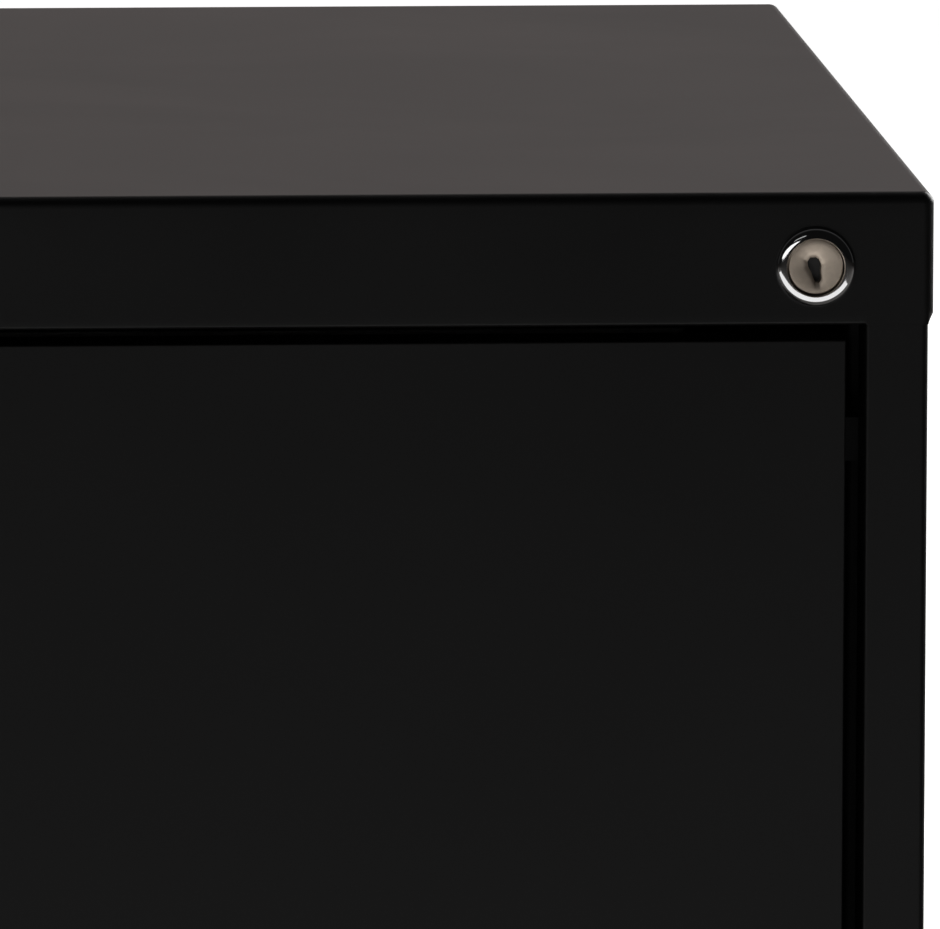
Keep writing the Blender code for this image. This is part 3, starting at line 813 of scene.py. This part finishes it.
edges = plug.edges[:]
ring = plug.verts[:]
first_ring = edges
for number, (radii, height) in enumerate(plug_rings):
    order = range(plug_sides)
    if number:
        drawn = bmesh.ops.extrude_edge_only(plug, edges=edges)["geom"]
        ring = only(drawn, bmesh.types.BMVert)
        edges = rim_of(drawn, ring)
        order = [nearest_spot(math.atan2(vert.co.y, vert.co.x)) for vert in ring]
    for vert, spot in zip(ring, order):
        across = radii[spot] * math.cos(angles[spot])
        upwards = radii[spot] * math.sin(angles[spot])
        vert.co = Vector((across, upwards, height))
bmesh.ops.contextual_create(plug, geom=first_ring)
bmesh.ops.contextual_create(plug, geom=edges)
bmesh.ops.recalc_face_normals(plug, faces=plug.faces)
bmesh.ops.rotate(plug, cent=(0, 0, 0), matrix=Matrix.Rotation(math.pi / 2, 3, "X"), verts=plug.verts)
bmesh.ops.translate(plug, vec=lock_place - Vector((0, plug_set_back, 0)), verts=plug.verts)
set_piece(plug, "lock_plug_face", "lock", nickel, ["lock_plug"])
# A solid black nylon disc a few millimetres into the plug that closes the keyway. It is painted shade that
# keeps the keyway dark, not a working lock part.
keyway_shade_profile = [(0.0, 0.0), (0.0060, 0.0), (0.0062, -0.0002), (0.0062, -0.0010), (0.0, -0.0010)]
keyway_shade_depth = 0.0028
keyway_shade_place = lock_place + Vector((0, keyway_shade_depth, 0))
set_piece(turn(keyway_shade_profile, 32, keyway_shade_place, forward=True), "lock_keyway_shade", "lock", nylon)
repaint("lock_nut", zinc)
repaint("lock_cam", zinc)
repaint("lock_bar", inner_paint)
for drawer in ("upper", "lower"):
    repaint(drawer + "_lock_hook", inner_paint)
    repaint(drawer + "_lock_catch", black_coat)

# ---------------------------------------------------------------------------------------------
# Drawer fronts. A folded outer skin in the powder coat, closed at the back by an inner liner in
# dark paint with a pressed field.
skin_bend = 0.0005
liner_bend = 0.0015
liner_margin = 0.050
liner_foot_margin = 0.045
liner_head_margin = 0.070
field_depth = 0.0025
field_slope = 0.008
field_rounding = 0.0025
for drawer in ("upper", "lower"):
    body = drawer + "_drawer"
    node = drawer + "_front"
    low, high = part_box(node)
    skin = folded_box(low, high, (0, 1, 0), skin_bend)
    set_sheet(skin, node + "_skin", body, black_coat, [node], sheet)
    node = drawer + "_liner"
    low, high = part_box(node)
    liner = folded_box(low, high, (0, -1, 0), liner_bend)
    liner_field = (
        (low.x + liner_margin, high.y - 0.001, low.z + liner_foot_margin),
        (high.x - liner_margin, high.y + 0.001, high.z - liner_head_margin),
    )
    press_fields(liner, [liner_field], (0, -field_depth, 0), field_slope, field_rounding)
    set_sheet(liner, node + "_sheet", body, inner_paint, [node], sheet)

# ---------------------------------------------------------------------------------------------
# Drawer trays. Plain sheet sides with a hemmed top and a long pressed bead, a beaded bottom and a
# back, spot-welded together in dark paint. Two zinc rails hold hanging folders.
hem_width = 0.0045
hem_height = 0.006
bead_margin = 0.050
bead_foot = 0.120
bead_head = 0.136
bead_depth = 0.0020
bead_slope = 0.004
bead_half = 0.009
rear_margin = 0.060
rail_flange = 0.004
rail_sheet = 0.0008
for drawer in ("upper", "lower"):
    body = drawer + "_drawer"
    for side, hand in ((-1, "left"), (1, "right")):
        node = f"{drawer}_tray_{hand}"
        low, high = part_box(node)
        outer_x = side * max(abs(low.x), abs(high.x))
        outline = [
            (outer_x, low.y, low.z),
            (outer_x, low.y, high.z),
            (outer_x - side * hem_width, low.y, high.z),
            (outer_x - side * hem_width, low.y, high.z - hem_height),
        ]
        wall = fold(outline, (0, high.y - low.y, 0), (0.0018, 0.0018), (side, 0, 0), 4)
        long_bead = (
            (outer_x - 0.001, low.y + bead_margin, low.z + bead_foot),
            (outer_x + 0.001, high.y - bead_margin, low.z + bead_head),
        )
        press_fields(wall, [long_bead], (-side * bead_depth, 0, 0), bead_slope)
        set_sheet(wall, node + "_sheet", body, inner_paint, [node], sheet)
    node = drawer + "_tray_back"
    low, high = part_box(node)
    rear = flat_sheet(low, high, (0, 1, 0))
    rear_field = (
        (low.x + rear_margin, low.y - 0.001, low.z + rear_margin),
        (high.x - rear_margin, high.y + 0.001, high.z - rear_margin),
    )
    press_fields(rear, [rear_field], (0, -field_depth, 0), field_slope, field_rounding)
    set_sheet(rear, node + "_sheet", body, inner_paint, [node], sheet)
    node = drawer + "_tray_bottom"
    low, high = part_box(node)
    floor_sheet = flat_sheet(low, high, (0, 0, 1))
    floor_beads = []
    for share in (0.2, 0.5, 0.8):
        bead_y = low.y + share * (high.y - low.y)
        floor_beads.append((
            (low.x + bead_margin, bead_y - bead_half, low.z - 0.001),
            (high.x - bead_margin, bead_y + bead_half, high.z + 0.001),
        ))
    press_fields(floor_sheet, floor_beads, (0, 0, bead_depth), bead_slope)
    set_sheet(floor_sheet, node + "_sheet", body, inner_paint, [node], sheet)
    for place in ("front", "rear"):
        node = f"{drawer}_folder_rail_{place}"
        low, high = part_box(node)
        outline = [
            (low.x, low.y, low.z),
            (low.x, low.y, high.z),
            (low.x, high.y, high.z),
            (low.x, high.y, low.z + rail_flange),
        ]
        rail = fold(outline, (high.x - low.x, 0, 0), (0.0011, 0.0011), (0, -1, 0), 4)
        set_sheet(rail, node + "_strip", body, zinc, [node], rail_sheet)

# ---------------------------------------------------------------------------------------------
# Pulls. A bowed round bar in satin nickel, flared where it stands on the drawer front, held by a
# pan-head screw from inside at each end.
pull_steps = 48
pull_sides = 24
roundness = 0.42
stand = 0.002
sink = 0.0003
bar_share = 0.92
flare = 0.35
flare_length = 0.006
screw_inset = 0.0025
screw_profile = [(0.0, 0.0022), (0.0020, 0.0021), (0.0034, 0.0015), (0.0040, 0.0004), (0.0040, -0.0004)]
for drawer in ("upper", "lower"):
    body = drawer + "_drawer"
    low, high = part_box(drawer + "_pull")
    bar = (high.z - low.z) / 2
    half = (high.x - low.x) / 2 - bar
    reach = high.y - low.y - bar
    pull_z = (low.z + high.z) / 2
    path = [Vector((-half, high.y + sink, pull_z)), Vector((-half, high.y - stand, pull_z))]
    for number in range(1, pull_steps):
        angle = math.pi * number / pull_steps
        across = -math.copysign(abs(math.cos(angle)) ** roundness, math.cos(angle))
        path.append(Vector((half * across, high.y - reach * math.sin(angle) ** roundness, pull_z)))
    path += [Vector((half, high.y - stand, pull_z)), Vector((half, high.y + sink, pull_z))]
    pull = bmesh.new()
    bmesh.ops.create_circle(pull, cap_ends=False, segments=pull_sides, radius=1)
    rings = []
    for number, point in enumerate(path):
        before = path[max(number - 1, 0)]
        after = path[min(number + 1, len(path) - 1)]
        along = (after - before).normalized()
        if number in (0, len(path) - 1):
            along = Vector((0, 1, 0)) if number else Vector((0, -1, 0))
        foot_share = max(0.0, 1 - (high.y - point.y) / flare_length)
        width = bar * (bar_share + flare * foot_share ** 2)
        tilt = along.to_track_quat("Z", "Y").to_matrix().to_4x4()
        rings.append(Matrix.Translation(point) @ tilt @ Matrix.Diagonal((width, width, 1, 1)))
    edges = pull.edges[:]
    circle = [vert.co.copy() for vert in pull.verts]
    for vert, start in zip(pull.verts, circle):
        vert.co = rings[0] @ start
    first_ring = edges
    for place in rings[1:]:
        drawn = bmesh.ops.extrude_edge_only(pull, edges=edges)["geom"]
        ring = only(drawn, bmesh.types.BMVert)
        edges = rim_of(drawn, ring)
        for vert, start in zip(ring, circle):
            vert.co = place @ start
    bmesh.ops.contextual_create(pull, geom=first_ring)
    bmesh.ops.contextual_create(pull, geom=edges)
    bmesh.ops.recalc_face_normals(pull, faces=pull.faces)
    set_piece(pull, drawer + "_pull_bar", body, nickel, [drawer + "_pull"])
    screw_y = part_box(drawer + "_liner")[1].y - screw_inset
    screws = heads_at(screw_profile, 24, [(end, screw_y, pull_z) for end in (-half, half)])
    set_piece(screws, drawer + "_pull_screws", body, zinc)

# ---------------------------------------------------------------------------------------------
# Label holders. A pressed frame in satin nickel above each pull, with rounded corners and a
# raised lip round its window. A blank card of heavy paper sits behind it.


def card_finish():
    """Heavy uncoated card with faint fibres."""
    material, tree, shader, place = new_finish("white_card")
    fibre = noise(tree, place, 1400.0, 5.0, 0.7)
    tone = blend_colours(tree, fibre, (0.70, 0.69, 0.65), (0.80, 0.79, 0.76))
    tree.links.new(tone, shader.inputs["Base Color"])
    shader.inputs["Roughness"].default_value = 0.85
    bump(tree, shader, fibre, 0.3, 0.00005)
    return material


def corner_edges(builder):
    """The edges of a thin upright box that run from its front to its back."""
    return [edge for edge in builder.edges if abs((edge.verts[0].co - edge.verts[1].co).y) > 0.0001]


card_stock = card_finish()
frame_sheet = 0.0005
frame_corner = 0.0035
frame_shoulder = 0.0008
frame_width = 0.0026
window_lip = 0.0005
window_drop = 0.0004
card_corner = 0.0020
for drawer in ("upper", "lower"):
    body = drawer + "_drawer"
    node = drawer + "_label_holder"
    holder = solid_box(*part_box(node))
    round_edges(holder, corner_edges(holder), frame_corner, 6)
    holder.normal_update()
    open_back = [face for face in holder.faces if face.normal.y > 0.9]
    bmesh.ops.delete(holder, geom=open_back, context="FACES")
    front_face = next(face for face in holder.faces if face.normal.y < -0.9)
    round_edges(holder, front_face.edges[:], frame_shoulder, 4)
    holder.normal_update()
    facing = [face for face in holder.faces if face.normal.y < -0.99]
    window = [max(facing, key=lambda face: face.calc_area())]
    for width, depth in ((frame_width, 0.0), (window_lip, -window_drop)):
        bmesh.ops.inset_region(holder, faces=window, thickness=width, depth=depth, use_even_offset=True)
    bmesh.ops.delete(holder, geom=window, context="FACES")
    set_sheet(holder, drawer + "_label_frame", body, nickel, [node], frame_sheet)
    node = drawer + "_label_card"
    card = solid_box(*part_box(node))
    round_edges(card, corner_edges(card), card_corner, 4)
    set_piece(card, drawer + "_card", body, card_stock, [node])

# ---------------------------------------------------------------------------------------------
# Studio. A pale floor that runs out of sight, a wide soft light low in front of the cabinet, an oval
# softbox to the front left with a small one above it, and a large one on each side behind, in a dim
# room.
ground = bmesh.new()
bmesh.ops.create_grid(ground, x_segments=2, y_segments=2, size=90)
ground_mesh = bpy.data.meshes.new("studio_floor")
ground.to_mesh(ground_mesh)
ground.free()
studio_floor = bpy.data.objects.new("studio_floor", ground_mesh)
bpy.context.scene.collection.objects.link(studio_floor)
floor_paint = bpy.data.materials.new("studio_floor")
floor_paint.use_nodes = True
tree = floor_paint.node_tree
tree.nodes.clear()
surface = tree.nodes.new("ShaderNodeOutputMaterial")
ray = tree.nodes.new("ShaderNodeLightPath")
pick = tree.nodes.new("ShaderNodeMixShader")
dim = tree.nodes.new("ShaderNodeBsdfDiffuse")
dim.inputs["Color"].default_value = (0.14, 0.135, 0.13, 1)
pale = tree.nodes.new("ShaderNodeBsdfDiffuse")
pale.inputs["Color"].default_value = (0.5, 0.5, 0.5, 1)
glow = tree.nodes.new("ShaderNodeEmission")
glow.inputs["Strength"].default_value = 0.97
both = tree.nodes.new("ShaderNodeAddShader")
tree.links.new(pale.outputs["BSDF"], both.inputs[0])
tree.links.new(glow.outputs["Emission"], both.inputs[1])
tree.links.new(ray.outputs["Is Camera Ray"], pick.inputs["Fac"])
tree.links.new(dim.outputs["BSDF"], pick.inputs[1])
tree.links.new(both.outputs["Shader"], pick.inputs[2])
tree.links.new(pick.outputs["Shader"], surface.inputs["Surface"])
ground_mesh.materials.append(floor_paint)

room = bpy.data.worlds.new("studio_room")
bpy.context.scene.world = room
room.use_nodes = True
tree = room.node_tree
tree.nodes.clear()
surface = tree.nodes.new("ShaderNodeOutputWorld")
ray = tree.nodes.new("ShaderNodeLightPath")
pick = tree.nodes.new("ShaderNodeMixShader")
white = tree.nodes.new("ShaderNodeBackground")
white.inputs["Color"].default_value = (1, 1, 1, 1)
white.inputs["Strength"].default_value = 1.05
walls = tree.nodes.new("ShaderNodeBackground")
where = tree.nodes.new("ShaderNodeTexCoord")
split = tree.nodes.new("ShaderNodeSeparateXYZ")
tree.links.new(where.outputs["Generated"], split.inputs["Vector"])
behind = remap(tree, split.outputs["Y"], 0.15, 0.85, 0.0, 1.0)
low_down = remap(tree, split.outputs["Z"], 0.35, 0.80, 1.0, 0.0)
lit = tree.nodes.new("ShaderNodeMath")
lit.operation = "MULTIPLY"
tree.links.new(behind, lit.inputs[0])
tree.links.new(low_down, lit.inputs[1])
around = remap(tree, split.outputs["Y"], -0.25, 0.15, 0.004, 0.045)
tone = blend_colours(tree, lit.outputs["Value"], (0.0, 0.0, 0.0), (0.276, 0.244, 0.237))
tree.links.new(around, tone.node.inputs["A"])
tree.links.new(tone, walls.inputs["Color"])
tree.links.new(ray.outputs["Is Camera Ray"], pick.inputs["Fac"])
tree.links.new(walls.outputs["Background"], pick.inputs[1])
tree.links.new(white.outputs["Background"], pick.inputs[2])
tree.links.new(pick.outputs["Shader"], surface.inputs["Surface"])


def soft_light(name, place, target, width, height, power, shape="RECTANGLE"):
    """An area light that looks at a point and is out of the camera's sight."""
    lamp = bpy.data.lights.new(name, "AREA")
    lamp.shape = shape
    lamp.size = width
    lamp.size_y = height
    lamp.energy = power
    holder = bpy.data.objects.new(name, lamp)
    holder.location = place
    holder.rotation_euler = (Vector(target) - Vector(place)).to_track_quat("-Z", "Y").to_euler()
    holder.visible_camera = False
    bpy.context.scene.collection.objects.link(holder)


lock_corner = (0.42, -0.2, 0.68)
cabinet_middle = (0.0, 0.0, 0.4)
soft_light("floor_bounce", (-0.30, -1.68, 0.02), (-0.30, -1.68, 3.0), 3.6, 1.6, 16.0)
soft_light("front_left", (-1.00, -3.05, 1.22), lock_corner, 2.5, 0.8, 6.4, shape="ELLIPSE")
soft_light("front_top", (-0.30, -3.00, 2.10), lock_corner, 0.9, 0.3, 0.45)
soft_light("behind_left", (-3.0, 2.4, 2.2), cabinet_middle, 3.2, 3.2, 210)
soft_light("behind_right", (3.2, 2.4, 2.2), cabinet_middle, 3.2, 3.2, 210)

# ---------------------------------------------------------------------------------------------
# Camera. A long lens nearly five metres in front and well above the cabinet's top, turned to the
# upper right-hand corner with the lock.
front_y = cap_low.y
eye = Vector((-0.0339, front_y - 4.770, 1.3053))
aim = Vector((0.3306, front_y, 0.6373))
lens_angle = math.radians(3.027)
roll = math.radians(0.194)
camera_data = bpy.data.cameras.new("camera")
camera_data.sensor_width = 36
camera_data.lens = camera_data.sensor_width / 2 / math.tan(lens_angle / 2)
camera_data.clip_start = 0.1
camera_data.clip_end = 200
camera = bpy.data.objects.new("camera", camera_data)
turn_to_aim = (aim - eye).to_track_quat("-Z", "Y").to_matrix().to_4x4()
camera.matrix_world = Matrix.Translation(eye) @ turn_to_aim @ Matrix.Rotation(roll, 4, "Z")
bpy.context.scene.collection.objects.link(camera)
bpy.context.scene.camera = camera
bpy.context.scene.view_settings.view_transform = "Standard"
